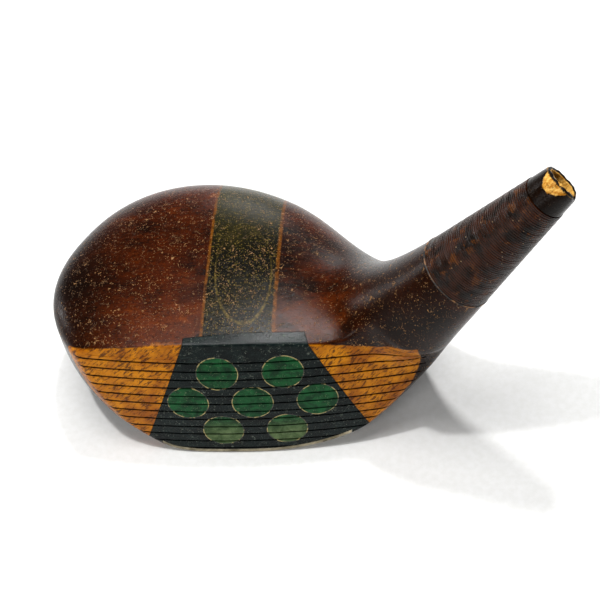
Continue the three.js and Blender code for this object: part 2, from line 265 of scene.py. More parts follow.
def head_shape(points):
    return smooth_overlap(faced(points), sole_height(points[..., 0]) - points[..., 2], SOLE_EDGE)


# ---------------------------------------------------------------- meshes


def reach_surface(starts, directions):
    """The first place where rays from inside the head come out of it."""
    inside = np.zeros(directions.shape[:-1])
    outside = np.full(directions.shape[:-1], np.nan)
    distance = 0.0
    while np.isnan(outside).any() and distance < 150:
        distance += 2
        out = head_shape(starts + directions * distance) > 0
        outside = np.where(np.isnan(outside) & out, distance, outside)
        inside = np.where(np.isnan(outside), distance, inside)
    for _ in range(16):
        middle = (inside + outside) / 2
        out = head_shape(starts + directions * middle[..., None]) > 0
        outside = np.where(out, middle, outside)
        inside = np.where(out, inside, middle)
    return starts + directions * outside[..., None]


def smooth_path(corners, count):
    """Evenly spaced points, and their tangents, on a curve through the corners."""
    corners = np.array(corners, float)
    padded = np.vstack([2 * corners[0] - corners[1], corners, 2 * corners[-1] - corners[-2]])
    t = np.linspace(0, 1, 60, endpoint=False)[:, None]
    bits = []
    for a, b, c, d in zip(padded, padded[1:], padded[2:], padded[3:]):
        bits.append(0.5 * (2 * b + (c - a) * t + (2 * a - 5 * b + 4 * c - d) * t**2
                           + (3 * b - a - 3 * c + d) * t**3))
    curve = np.vstack(bits + [corners[-1:]])
    lengths = np.append(0, np.cumsum(np.linalg.norm(np.diff(curve, axis=0), axis=1)))
    wanted = np.linspace(0, lengths[-1], count)
    points = np.stack([np.interp(wanted, lengths, curve[:, i]) for i in range(3)], axis=1)
    tangents = np.gradient(points, axis=0)
    return points, tangents / np.linalg.norm(tangents, axis=1, keepdims=True)


def ring_directions(along, lean, angles):
    side = NECK_BACK - along * along[:, 1:2]
    side /= np.linalg.norm(side, axis=1, keepdims=True)
    up = np.cross(along, side)
    level = side[:, None] * np.cos(angles)[..., None] + up[:, None] * np.sin(angles)[..., None]
    return level * np.cos(lean)[:, None, None] - along[:, None] * np.sin(lean)[:, None, None]


def crowded_angles(starts, along, lean):
    """Angles for each ring that crowd where the face or the sole meets the body."""
    scan = np.tile(np.linspace(0, 2 * math.pi, SCAN_SIDES + 1), (len(starts), 1))
    points = reach_surface(starts[:, None], ring_directions(along, lean, scan))
    middle = (points[:, 1:] + points[:, :-1]) / 2
    length = np.linalg.norm(np.diff(points, axis=1), axis=-1)
    from_face_edge = np.maximum(np.abs(blank(middle)), np.abs(behind_face(middle)))
    above_sole = middle[..., 2] - sole_height(middle[..., 0])
    from_sole_edge = np.maximum(np.abs(faced(middle)), np.abs(above_sole))
    crowd = 1 + 6 * np.exp(-((from_face_edge / 1.1) ** 2)) + 4 * np.exp(-((from_sole_edge / 1.3) ** 2))
    weight = length / length.mean(axis=1, keepdims=True) * crowd + 0.15
    weight /= weight.sum(axis=1, keepdims=True)
    padded = np.pad(weight, ((3, 3), (0, 0)), mode="edge")
    weight = sum(padded[i:i + len(weight)] for i in range(7)) / 7
    total = np.hstack([np.zeros((len(weight), 1)), np.cumsum(weight, axis=1)])
    wanted = np.linspace(0, 1, SIDES, endpoint=False)
    return np.stack([np.interp(wanted, row / row[-1], scan[0]) for row in total])


def neck_ring(along, radius, angles):
    along = np.asarray(along, float).reshape(-1, 1)
    spokes = NECK_BACK * np.cos(angles)[:, None] + NECK_UP * np.sin(angles)[:, None]
    curve = np.maximum(NECK_STEP - along, 0) ** 2
    centre = NECK_FOOT + NECK_AXIS * along + NECK_BACK * NECK_SWEEP * curve - NECK_UP * NECK_SAG * curve
    return centre + spokes * np.asarray(radius).reshape(-1, 1)


def dip(angles, centre, width):
    """1 at an angle, falling to 0 a width away from it."""
    away = np.abs((angles - math.radians(centre) + math.pi) % (2 * math.pi) - math.pi)
    return np.clip(1 - away / math.radians(width), 0, 1) ** 1.5


def end_rings(angles):
    """The neck above the spine: channel, worn bare end, broken rim and bore."""
    rings = []
    for along in np.linspace(NECK_STEP - 0.5, NECK_STEP - 0.06, 3):
        rings.append(neck_ring(along, outer_neck_radius(along), angles))
    collar = NECK_END - BARE_END
    for along in np.linspace(NECK_STEP, collar, 14):
        rings.append(neck_ring(along, outer_neck_radius(along) - CHANNEL_DEPTH, angles))
    slant = RIM_SLANT * np.cos(angles - RIM_LONGEST)
    chip = 1.5 * dip(angles, 232, 44) + 0.08 * np.sin(7 * angles) + 0.06 * np.sin(17 * angles + 1)
    end = NECK_END + slant - chip
    scar = 0.7 * dip(angles, 140, 34)
    for share in (0.02, 0.3, 0.6, 0.9):
        along = collar + 0.05 + (end - collar) * share
        rings.append(neck_ring(along, outer_neck_radius(along) - 0.1 - scar * share, angles))
    outer = outer_neck_radius(end) - 0.35 - scar
    rings.append(neck_ring(end, outer, angles))
    rings.append(neck_ring(end + 0.06 * np.sin(9 * angles), (outer + BORE_RADIUS) / 2 + 0.1, angles))
    inner = BORE_RADIUS + 0.15 * np.sin(3 * angles) ** 2
    rings.append(neck_ring(end - 0.15, inner, angles))
    for along in (106, 103, 99, 92, 82, 70, 55, 42, BORE_BOTTOM):
        rings.append(neck_ring(along, np.full(len(angles), BORE_RADIUS), angles))
    return rings


def grid_faces(rows, columns, first):
    row, column = np.meshgrid(np.arange(rows - 1), np.arange(columns), indexing="ij")
    corner = first + row * columns + column
    beside = first + row * columns + (column + 1) % columns
    return np.stack([corner, beside, beside + columns, corner + columns], axis=-1).reshape(-1, 4).tolist()


def new_piece(name, points, faces):
    mesh = bpy.data.meshes.new(name)
    mesh.from_pydata(np.asarray(points, float).tolist(), [], faces)
    mesh.update()
    piece = bpy.data.objects.new(name, mesh)
    bpy.context.scene.collection.objects.link(piece)
    return piece


def capped_tube(name, rings):
    """A closed skin over rings of equal count, with a point at each end."""
    rings = np.array(rings)
    rows, columns = rings.shape[:2]
    points = np.vstack([rings[0].mean(axis=0)[None], rings.reshape(-1, 3), rings[-1].mean(axis=0)[None]])
    faces = grid_faces(rows, columns, 1)
    last = 1 + (rows - 1) * columns
    for side in range(columns):
        after = (side + 1) % columns
        faces.append((0, 1 + after, 1 + side))
        faces.append((len(points) - 1, last + side, last + after))
    return new_piece(name, points, faces)


def head_blank():
    corners = [(-30, 9, 23), (-10.5, 8, 23), (9, 3.5, 23), (23, -3.5, 25.5),
               along_neck(42), along_neck(56), along_neck(NECK_STEP - 0.8)]
    starts, along = smooth_path(corners, BODY_RINGS)
    lean = np.zeros(BODY_RINGS)
    toe_lean = (1 - np.arange(1, TOE_RINGS) / TOE_RINGS) * math.pi / 2
    starts = np.vstack([np.repeat(starts[:1], TOE_RINGS - 1, axis=0), starts])
    along = np.vstack([np.repeat(along[:1], TOE_RINGS - 1, axis=0), along])
    lean = np.append(toe_lean, lean)
    angles = crowded_angles(starts, along, lean)
    rings = list(reach_surface(starts[:, None], ring_directions(along, lean, angles)))
    return capped_tube("head", rings + end_rings(angles[-1]))


def copy_of(piece, name):
    twin = bpy.data.objects.new(name, piece.data.copy())
    bpy.context.scene.collection.objects.link(twin)
    return twin


def combine(piece, tool, operation):
    modifier = piece.modifiers.new("cut", "BOOLEAN")
    modifier.operation = operation
    modifier.solver = "MANIFOLD"
    modifier.object = tool
    bpy.context.view_layer.update()
    seen = piece.evaluated_get(bpy.context.evaluated_depsgraph_get())
    mesh = bpy.data.meshes.new_from_object(seen)
    piece.modifiers.clear()
    old = piece.data
    piece.data = mesh
    bpy.data.meshes.remove(old)
    return piece


def discard(*tools):
    for tool in tools:
        mesh = tool.data
        bpy.data.objects.remove(tool)
        bpy.data.meshes.remove(mesh)


# ---------------------------------------------------------------- the face's pieces


def on_face(side, up, out):
    return FACE_CENTRE + FACE_SIDE * side + FACE_UP * up + FACE_NORMAL * out


def prism(name, bottom, top):
    """A closed block between two outlines with the same number of corners."""
    return capped_tube(name, [bottom, top])


def insert_block(margin):
    high = INSERT_TOP + 10
    low = INSERT_TOP - 52
    heel = [(INSERT_HEEL + margin + (INSERT_TOP - up) * INSERT_HEEL_SLOPE, up) for up in (high, low)]
    toe = [(-INSERT_TOE - margin - (INSERT_TOP - up) * INSERT_TOE_SLOPE, up) for up in (low, high)]
    rings = []
    for out in (30, -INSERT_DEPTH - margin):
        ring = []
        for side, up in heel + toe:
            turned = side * math.cos(INSERT_TURN) + out * math.sin(INSERT_TURN)
            deep = out * math.cos(INSERT_TURN) - side * math.sin(INSERT_TURN)
            ring.append(on_face(turned, up, deep))
        rings.append(ring)
    return prism("insert_block", *rings)


def face_dowel(place, radius, deep):
    side, up = place
    rings = []
    for out in (-deep, 12):
        turns = np.linspace(0, 2 * math.pi, 96, endpoint=False)
        rings.append([on_face(side + radius * math.cos(t), up + radius * math.sin(t), out) for t in turns])
    return prism("dowel", *rings)


def peg_places():
    places = []
    for row, count in ((1, 2), (0, 3), (-1, 2)):
        for i in range(count):
            places.append(((i - (count - 1) / 2) * PEG_SPACING, row * PEG_ROW))
    return places


def front_of_face(side, up):
    """How far out of the face's frame the head's surface lies."""
    ball = math.sqrt(FACE_BALL**2 - side**2 - up**2) - FACE_BALL
    outs = np.arange(14, ball, -0.05)
    probes = on_face(side, up, 0) + FACE_NORMAL * outs[:, None]
    hits = np.nonzero(head_shape(probes) < 0)[0]
    return outs[hits[0]] if len(hits) else ball


def score_tool(up, toe, heel, depth, width, phase):
    """A thin swept bar whose lower edge cuts one line."""
    section = [(-0.5, 1.5), (-0.5, -0.3), (-0.34, -0.85), (0, -1), (0.34, -0.85), (0.5, -0.3), (0.5, 1.5)]
    rings = []
    for side in np.linspace(toe, heel, 68):
        fade = min(1, (heel + 0.5 - side) / 3)
        wobble = 0.05 * math.sin(side * 0.9 + phase) + 0.03 * math.sin(side * 2.3 + 2 * phase)
        wide = width * (1 + 0.14 * math.sin(side * 1.7 + phase) + 0.1 * math.sin(side * 0.6 + 3 * phase))
        out = front_of_face(side, up)
        rings.append([
            on_face(side, up + wobble + across * wide, out + (rise if rise > 0 else rise * depth * fade))
            for across, rise in section
        ])
    return capped_tube("score_tool", rings)


def score_tools():
    tools = []
    for i in range(SCORE_COUNT):
        up = SCORE_TOP - i * SCORE_PITCH
        tools.append(score_tool(up, SCORE_TOE, SCORE_HEEL, SCORE_DEPTH, SCORE_WIDTH, i * 1.3))
    tools.append(score_tool(FAINT_LINE, -52, -INSERT_TOE - 2, 0.12, 0.3, 4.0))
    return tools


def scored(piece, tools):
    for tool in tools:
        combine(piece, tool, "DIFFERENCE")
    return piece


# ---------------------------------------------------------------- the sole's pieces


def bezier(a, b, c, d, count):
    t = np.linspace(0, 1, count, endpoint=False)[:, None]
    a, b, c, d = map(np.array, (a, b, c, d))
    return a * (1 - t) ** 3 + 3 * b * (1 - t) ** 2 * t + 3 * c * (1 - t) * t**2 + d * t**3


def plate_block(margin):
    half = PLATE_HALF + margin
    back = PLATE_BACK + margin + 2.5
    waist = PLATE_WAIST + margin
    shoulder = PLATE_SHOULDER + margin
    corner = PLATE_CORNER
    tail = PLATE_TAIL
    outline = np.vstack([
        [(-half, corner), (-half, -36), (half, -36)],
        bezier((half, corner), (half, -3.5), (waist, 5), (shoulder, tail), 24),
        bezier((shoulder, tail), (shoulder - 3.5, back), (3.5 - shoulder, back), (-shoulder, tail), 24),
        bezier((-shoulder, tail), (-waist, 5), (-half, -3.5), (-half, corner), 24)[:-1],
    ])
    rings = [[(x, y, z) for x, y in outline] for z in (-14, 10)]
    return prism("plate_block", *rings)


def lathe(name, profile, sides):
    turns = np.linspace(0, 2 * math.pi, sides, endpoint=False)
    rings = [[(r * math.cos(t), r * math.sin(t), z) for t in turns] for r, z in profile]
    return capped_tube(name, rings)


def stand_on_sole(piece, place):
    """Puts a piece made at the origin on the sole at a place, square to it."""
    lean = math.atan(sole_run(place[0]) / SOLE_ARC)
    spot = Matrix.Translation((*place, sole_height(place[0])))
    piece.data.transform(spot @ Matrix.Rotation(-lean, 4, "Y"))
    return piece


def screw_hole(place):
    profile = [(SCREW_RADIUS + 0.12, -1), (SCREW_RADIUS + 0.12, 0.5), (1.6, 2.3), (1.6, 11.5)]
    return stand_on_sole(lathe("hole", profile, 48), place)


def sole_screw(name, place, turn):
    r = SCREW_RADIUS
    profile = [(0.8, 0.02), (0.6 * r, 0.04), (0.85 * r, 0.1), (0.96 * r, 0.2), (r, 0.34), (r, 0.5),
               (1.4, 2.2)]
    for i in range(8):
        low = 2.5 + i
        profile += [(1.4, low), (1.15, low + 0.35), (1.4, low + 0.7)]
    profile += [(0.3, 11)]
    screw = lathe(name, profile, 48)
    long = np.array([math.cos(turn), math.sin(turn)]) * (r + 1)
    wide = np.array([-math.sin(turn), math.cos(turn)]) * 0.42
    corners = [a * long + b * wide for a, b in ((-1, -1), (1, -1), (1, 1), (-1, 1))]
    slot = prism("slot", [(x, y, -1) for x, y in corners], [(x, y, 0.75) for x, y in corners])
    combine(screw, slot, "DIFFERENCE")
    discard(slot)
    return stand_on_sole(screw, place)


# ---------------------------------------------------------------- the whipping


def whipping():
    """Close turns of thread round the neck, as one skin with a ridge for each turn."""
    low = NECK_STEP + 0.15
    high = NECK_END - BARE_END - 0.1
    angles = np.linspace(0, 2 * math.pi, 96, endpoint=False)
    rings = [neck_ring(low, outer_neck_radius(low) - CHANNEL_DEPTH + 0.03 + 0 * angles, angles)]
    for along in np.arange(low, high, THREAD_PITCH / 7):
        slack = 0.03 * np.sin(angles * 2 + along * 1.9)
        phase = ((along + slack) / THREAD_PITCH - angles / (2 * math.pi)) % 1
        ridge = np.sqrt(np.clip(1 - (2 * phase - 1) ** 2, 0, 1))
        uneven = 0.02 * np.sin(along * 3.1 + 2 * np.sin(angles)) + 0.015 * np.sin(along * 7.7 + angles)
        radius = outer_neck_radius(along) + THREAD_PROUD * (ridge - 0.75) + uneven
        rings.append(neck_ring(along, radius, angles))
    rings.append(neck_ring(high, outer_neck_radius(high) - CHANNEL_DEPTH + 0.03 + 0 * angles, angles))
    points = np.array(rings)
    faces = grid_faces(len(points) + 1, len(angles), 0)
    count = len(points) * len(angles)
    wrapped = [tuple(corner % count for corner in face) for face in faces]
    return new_piece("thread_winding", points.reshape(-1, 3), wrapped)


def base_ring():
    angles = np.linspace(0, 2 * math.pi, 128, endpoint=False)
    rings = []
    for turn in np.linspace(0, 2 * math.pi, 10, endpoint=False):
        radius = NECK_STEP_RADIUS - 0.02 + 0.2 * math.cos(turn)
        wander = 0.06 * np.sin(3 * angles)
        along = NECK_STEP + 0.05 + 0.2 * math.sin(turn) + wander
        rings.append(neck_ring(along, radius + 0 * angles, angles))
    count = len(rings) * len(angles)
    faces = grid_faces(len(rings) + 1, len(angles), 0)
    faces = [tuple(corner % count for corner in face) for face in faces]
    return new_piece("winding_edge", np.array(rings).reshape(-1, 3), faces)


# ---------------------------------------------------------------- materials


class Paint:
    """A material's node tree, built with short calls. Lengths are in millimetres."""

    def __init__(self, name):
        self.material = bpy.data.materials.new(name)
        self.material.use_nodes = True
        self.tree = self.material.node_tree
        self.shader = self.tree.nodes["Principled BSDF"]
        coordinates = self.tree.nodes.new("ShaderNodeTexCoord")
        self.place = self.vector("SCALE", coordinates.outputs["Object"], scale=1 / MM)
        split = self.tree.nodes.new("ShaderNodeSeparateXYZ")
        self.link(split.inputs[0], self.place)
        self.x, self.y, self.z = split.outputs

    def link(self, socket, value):
        if isinstance(value, bpy.types.NodeSocket):
            self.tree.links.new(value, socket)
        elif socket.type == "RGBA" and len(value) == 3:
            socket.default_value = (*value, 1)
        else:
            socket.default_value = value

    def vector(self, operation, a, b=None, scale=None):
        node = self.tree.nodes.new("ShaderNodeVectorMath")
        node.operation = operation
        self.link(node.inputs[0], a)
        if b is not None:
            self.link(node.inputs[1], b)
        if scale is not None:
            node.inputs["Scale"].default_value = scale
        gives_number = operation in ("DOT_PRODUCT", "DISTANCE", "LENGTH")
        return node.outputs["Value" if gives_number else "Vector"]

    def math(self, operation, a, b=0.0):
        node = self.tree.nodes.new("ShaderNodeMath")
        node.operation = operation
        self.link(node.inputs[0], a)
        self.link(node.inputs[1], b)
        return node.outputs[0]

    def add(self, a, b):
        return self.math("ADD", a, b)

    def times(self, a, b):
        return self.math("MULTIPLY", a, b)

    def rise(self, value, low, high, to_low=0.0, to_high=1.0):
        """Goes smoothly between two values as value goes from low to high."""
        node = self.tree.nodes.new("ShaderNodeMapRange")
        node.interpolation_type = "SMOOTHSTEP"
        self.link(node.inputs["Value"], value)
        limits = {"From Min": low, "From Max": high, "To Min": to_low, "To Max": to_high}
        for socket, number in limits.items():
            node.inputs[socket].default_value = number
        return node.outputs[0]

    def curve(self, value, points):
        """Reads a smooth curve through (value, result) points, flat beyond its ends."""
        low, high = points[0][0], points[-1][0]
        results = [result for _, result in points]
        least, most = min(results), max(results)
        node = self.tree.nodes.new("ShaderNodeFloatCurve")
        self.link(node.inputs["Value"], self.times(self.add(value, -low), 1 / (high - low)))
        line = node.mapping.curves[0]
        while len(line.points) < len(points):
            line.points.new(0.5, 0.5)
        for knot, (at, result) in zip(line.points, points):
            knot.location = ((at - low) / (high - low), (result - least) / (most - least))
        node.mapping.update()
        return self.add(self.times(node.outputs[0], most - least), least)

    def noise(self, grain, detail=4.0, rough=0.55, stretch=(1, 1, 1), twist=0.0):
        """Noise with grains of about this size, longer along an axis by its stretch."""
        node = self.tree.nodes.new("ShaderNodeTexNoise")
        scaled = self.vector("MULTIPLY", self.place, tuple(1 / (grain * s) for s in stretch))
        self.link(node.inputs["Vector"], scaled)
        node.inputs["Scale"].default_value = 1
        node.inputs["Detail"].default_value = detail
        node.inputs["Roughness"].default_value = rough
        node.inputs["Distortion"].default_value = twist
        return node.outputs["Factor" if "Factor" in node.outputs else 0]

    def specks(self, spacing, size, share):
        """1 in small dots, which a share of the cells hold."""
        node = self.tree.nodes.new("ShaderNodeTexVoronoi")
        self.link(node.inputs["Vector"], self.vector("SCALE", self.place, scale=1 / spacing))
        node.inputs["Scale"].default_value = 1
        dot = self.rise(node.outputs["Distance"], size / spacing, size / spacing * 0.5)
        split = self.tree.nodes.new("ShaderNodeSeparateColor")
        self.link(split.inputs[0], node.outputs["Color"])
        kept = self.rise(split.outputs[0], 1 - share, 1 - share + 0.02)
        return self.times(dot, kept)

    def scratches(self, grain, share):
        """1 along short, thin, curved lines."""
        course = self.noise(grain, 1, 0.5, twist=1.6)
        line = self.rise(self.math("ABSOLUTE", self.add(course, -0.5)), 0.02, 0.006)
        return self.times(line, self.rise(self.noise(grain * 0.8, 2, 0.6), 1 - share, 1.04 - share))

    def past_ball(self):
        """How far a point lies outside the face's ball."""
        return self.add(self.vector("DISTANCE", self.place, tuple(BALL_CENTRE)), -FACE_BALL)

    def from_foot(self, direction):
        """How far a point lies from the neck's foot along a direction."""
        offset = self.vector("SUBTRACT", self.place, tuple(NECK_FOOT))
        return self.vector("DOT_PRODUCT", offset, tuple(direction))

    def grooves(self):
        """1 along the score lines in the face."""
        from_centre = self.vector("SUBTRACT", self.place, tuple(FACE_CENTRE))
        up = self.vector("DOT_PRODUCT", from_centre, tuple(FACE_UP))
        row = self.times(self.add(self.times(up, -1), SCORE_TOP), 1 / SCORE_PITCH)
        from_line = self.math("ABSOLUTE", self.add(self.math("FRACT", self.add(row, 0.5)), -0.5))
        line = self.rise(self.times(from_line, SCORE_PITCH), 0.36, 0.2)
        among = self.times(self.rise(row, -0.5, -0.4), self.rise(row, SCORE_COUNT - 0.5, SCORE_COUNT - 0.6))
        return self.times(self.times(line, among), self.rise(self.past_ball(), -1.6, -1.2))

    def mix(self, share, a, b):
        node = self.tree.nodes.new("ShaderNodeMix")
        node.data_type = "RGBA"
        self.link(node.inputs[0], share)
        self.link(node.inputs[6], a)
        self.link(node.inputs[7], b)
        return node.outputs[2]

    def finish(self, color, rough, height, depth, metal=0.0, specular=0.5, coat=0.0):
        bump = self.tree.nodes.new("ShaderNodeBump")
        bump.inputs["Distance"].default_value = depth * MM
        bump.inputs["Strength"].default_value = 1
        self.link(bump.inputs["Height"], height)
        self.link(self.shader.inputs["Normal"], bump.outputs[0])
        self.link(self.shader.inputs["Base Color"], color)
        self.link(self.shader.inputs["Roughness"], rough)
        self.shader.inputs["Metallic"].default_value = metal
        self.shader.inputs["Specular IOR Level"].default_value = specular
        self.shader.inputs["Coat Weight"].default_value = coat
        self.shader.inputs["Coat Roughness"].default_value = 0.25
        return self.material


def srgb(red, green, blue):
    """A display colour of 0 to 255 as linear light."""
    parts = []
    for value in (red, green, blue):
        share = value / 255
        parts.append(share / 12.92 if share <= 0.04045 else ((share + 0.055) / 1.055) ** 2.4)
    return tuple(parts)


def lacquered_wood():
    p = Paint("lacquered_wood")
    mottle = p.noise(26, 3, 0.5, (1.5, 1, 1))
    blotch = p.noise(7, 5, 0.65, (1.6, 1, 1), 0.6)
    grain = p.noise(1.3, 5, 0.7, (5, 1, 1), 0.5)
    pores = p.noise(0.42, 4, 0.75, (2.2, 1, 1))
    fine = p.noise(0.7, 4, 0.7)

    # Lacquer over the body, with painted shade darkening the toe and the heel.
    tone = p.add(p.times(mottle, 0.5), p.add(p.times(blotch, 0.34), p.times(grain, 0.28)))
    lacquer = p.mix(p.rise(tone, 0.42, 0.7), srgb(8, 2, 0), srgb(76, 26, 0))
    worn_spot = p.times(p.rise(blotch, 0.55, 0.72), p.rise(mottle, 0.45, 0.6))
    lacquer = p.mix(p.times(worn_spot, 0.45), lacquer, srgb(128, 60, 10))
    ball = p.past_ball()
    warm = p.times(p.rise(ball, -17, -5), p.rise(blotch, 0.35, 0.6, 0.05, 0.26))
    lacquer = p.mix(warm, lacquer, srgb(116, 50, 4))
    # Painted shade: the body goes darker towards the toe and the heel.
    heel_shade = p.times(p.rise(p.x, 20, 36), p.rise(p.x, 66, 48, 0.45, 1))
    end_shade = p.math("MAXIMUM", p.rise(p.x, -24, -52), heel_shade)
    lacquer = p.mix(p.times(end_shade, 0.88), lacquer, srgb(12, 3, 0))
    lacquer = p.mix(p.times(p.rise(pores, 0.5, 0.6), 0.72), lacquer, srgb(9, 3, 1))

    # Crown stripe with a pinstripe down each side.
    across = p.add(p.x, p.add(p.times(p.y, -STRIPE_LEAN), STRIPE_START * STRIPE_LEAN - STRIPE_LEFT))
    wander = p.times(p.add(p.noise(5, 3), -0.5), 0.5)
    across = p.add(across, wander)
    off_stripe = p.math("ABSOLUTE", across)
    on_stripe = p.rise(off_stripe, STRIPE_HALF + 0.15, STRIPE_HALF - 0.15)
    on_crown = p.rise(p.z, 15.8, 16.2)
    olive = p.mix(p.rise(tone, 0.45, 0.7), srgb(5, 5, 1), srgb(30, 26, 2))
    # Painted sheen: the stripe turns paler and greyer towards the back.
    olive = p.mix(p.rise(p.y, 12, 46, 0, 0.5), olive, srgb(48, 48, 26))
    grit = p.math("MAXIMUM", p.specks(0.6, 0.2, 0.5), p.rise(fine, 0.58, 0.68))
    olive = p.mix(p.times(grit, 0.75), olive, srgb(118, 98, 38))
    left_line = p.rise(p.math("ABSOLUTE", p.add(across, STRIPE_HALF)), 0.55, 0.15)
    right_line = p.rise(p.math("ABSOLUTE", p.add(across, -STRIPE_HALF)), 0.7, 0.2)
    worn_line = p.rise(p.noise(1.4, 4, 0.7), 0.3, 0.65)
    lines = p.times(p.math("MAXIMUM", left_line, right_line), p.times(worn_line, 0.75))
    oval_x = p.times(p.add(p.x, -OVAL_CENTRE[0]), 1 / OVAL_HALF_WIDTH)
    oval_y = p.times(p.add(p.y, -OVAL_CENTRE[1]), 1 / OVAL_HALF_LENGTH)
    oval_x = p.math("POWER", p.math("ABSOLUTE", oval_x), 2)
    oval_y = p.math("POWER", p.math("ABSOLUTE", oval_y), 2)
    oval = p.rise(p.math("ABSOLUTE", p.add(p.math("SQRT", p.add(oval_x, oval_y)), -1)), 0.05, 0.01)
    oval = p.times(oval, p.rise(p.y, 20, -6, 0.12, 0.9))
    crown = p.mix(on_stripe, lacquer, olive)
    crown = p.mix(p.times(oval, p.times(worn_line, 0.6)), crown, srgb(120, 98, 34))
    crown = p.mix(lines, crown, srgb(124, 70, 12))
    body = p.mix(on_crown, lacquer, crown)

    # Pale dents and specks.
    dust = p.math("MAXIMUM", p.specks(0.8, 0.17, 0.5), p.specks(3.4, 0.36, 0.3))
    dust = p.math("MAXIMUM", dust, p.math("MAXIMUM", p.scratches(2.4, 0.44), p.scratches(1.1, 0.42)))
    patchy = p.rise(p.noise(9, 4, 0.6), 0.38, 0.6, 0.3, 1)
    marks = p.times(dust, patchy)
    body = p.mix(p.times(marks, 0.6), body, srgb(196, 146, 92))

    # Ochre wood of the face, with dark flecks.
    ragged = p.times(p.add(p.noise(1.5, 4, 0.7), -0.5), 0.35)
    in_face = p.rise(p.add(ball, ragged), -3.4, -3.1)
    past_topline = p.math("SUBTRACT", p.add(p.z, p.times(ragged, 1.5)), p.curve(p.x, TOPLINE))
    under_topline = p.rise(past_topline, 0.2, -0.2)
    past_heel = p.math("SUBTRACT", p.add(p.x, p.times(ragged, 2)), p.curve(p.z, HEEL_LINE))
    before_heel = p.rise(past_heel, 0.3, -0.3)
    face = p.times(p.times(in_face, under_topline), before_heel)
    turned = p.tree.nodes.new("ShaderNodeVectorRotate")
    turned.rotation_type = "Y_AXIS"
    turned.inputs["Angle"].default_value = math.radians(45)
    p.link(turned.inputs["Vector"], p.place)
    flecks = p.tree.nodes.new("ShaderNodeTexNoise")
    p.link(flecks.inputs["Vector"], p.vector("MULTIPLY", turned.outputs[0], (0.32, 1.4, 1.6)))
    flecks.inputs["Scale"].default_value = 1
    flecks.inputs["Detail"].default_value = 5
    flecks.inputs["Roughness"].default_value = 0.68
    ochre = p.mix(p.rise(p.noise(6, 4, 0.6), 0.3, 0.7), srgb(150, 80, 0), srgb(208, 130, 0))
    ochre = p.mix(p.times(p.rise(flecks.outputs[0], 0.49, 0.6), 0.85), ochre, srgb(66, 28, 0))
    ochre = p.mix(p.times(p.specks(1.6, 0.25, 0.3), 0.6), ochre, srgb(52, 24, 4))
    ochre = p.mix(p.times(p.grooves(), 0.92), ochre, srgb(12, 6, 2))
    wood = p.mix(face, body, ochre)

    # A dark collar above the winding, and bare wood on the rim and in the bore, with painted shade deeper
    # in the bore.
    along = p.from_foot(NECK_AXIS)
    offset = p.vector("SUBTRACT", p.place, tuple(NECK_FOOT))
    radius = p.vector("LENGTH", p.vector("CROSS_PRODUCT", offset, tuple(NECK_AXIS)))
    fibres = p.noise(0.5, 4, 0.7, (3, 1, 3))
    bare = p.mix(p.rise(fibres, 0.35, 0.65), srgb(170, 108, 20), srgb(232, 182, 92))
    bare = p.mix(p.times(p.rise(fine, 0.6, 0.7), 0.8), bare, srgb(66, 34, 8))
    collar = p.rise(along, NECK_END - BARE_END - 0.2, NECK_END - BARE_END + 0.1)
    wood = p.mix(p.times(collar, 0.94), wood, srgb(9, 5, 2))
    longest = NECK_BACK * math.cos(RIM_LONGEST) + NECK_UP * math.sin(RIM_LONGEST)
    square_to_rim = NECK_AXIS - longest * RIM_SLANT / NECK_END_RADIUS
    along_rim = p.from_foot(square_to_rim)
    at_end = p.rise(p.add(along_rim, p.times(p.add(fine, -0.5), 1.2)), NECK_END - 0.7, NECK_END - 0.3)
    rim_band = p.rise(p.math("ABSOLUTE", p.add(radius, -4.62)), 0.46, 0.36)
    bare = p.mix(p.times(rim_band, at_end), bare, srgb(14, 9, 5))
    in_bore = p.times(p.rise(radius, BORE_RADIUS + 0.6, BORE_RADIUS + 0.3), p.rise(along, 60, 62))
    toward_chip = NECK_BACK * math.cos(CHIP_ANGLE) + NECK_UP * math.sin(CHIP_ANGLE)
    beside_chip = p.math("DIVIDE", p.from_foot(toward_chip), radius)
    chip_edge = p.add(p.add(along, p.times(beside_chip, 9)), p.times(p.add(fine, -0.5), 2))
    chip = p.rise(chip_edge, NECK_END + 6.6, NECK_END + 7)
    shown = p.math("MAXIMUM", p.math("MAXIMUM", at_end, chip), in_bore)
    wood = p.mix(shown, wood, bare)
    # Painted shade: the bore goes dark beyond its lit mouth.
    lit_depth = p.add(p.add(along, p.times(p.from_foot(NECK_BACK), 0.8)), p.times(p.add(fine, -0.5), 2))
    bore_shade = p.times(in_bore, p.rise(lit_depth, NECK_END - 2, NECK_END - 3))
    wood = p.mix(bore_shade, wood, srgb(8, 5, 2))

    rough = p.add(p.rise(fine, 0.3, 0.7, 0.16, 0.28), p.times(marks, 0.3))
    rough = p.add(rough, p.times(p.math("MAXIMUM", face, shown), 0.14))
    height = p.add(p.times(blotch, 0.5), p.add(p.times(fine, 0.28), p.times(marks, -0.55)))
    height = p.add(height, p.times(pores, 0.25))
    return p.finish(wood, rough, height, 0.18, specular=0.12)


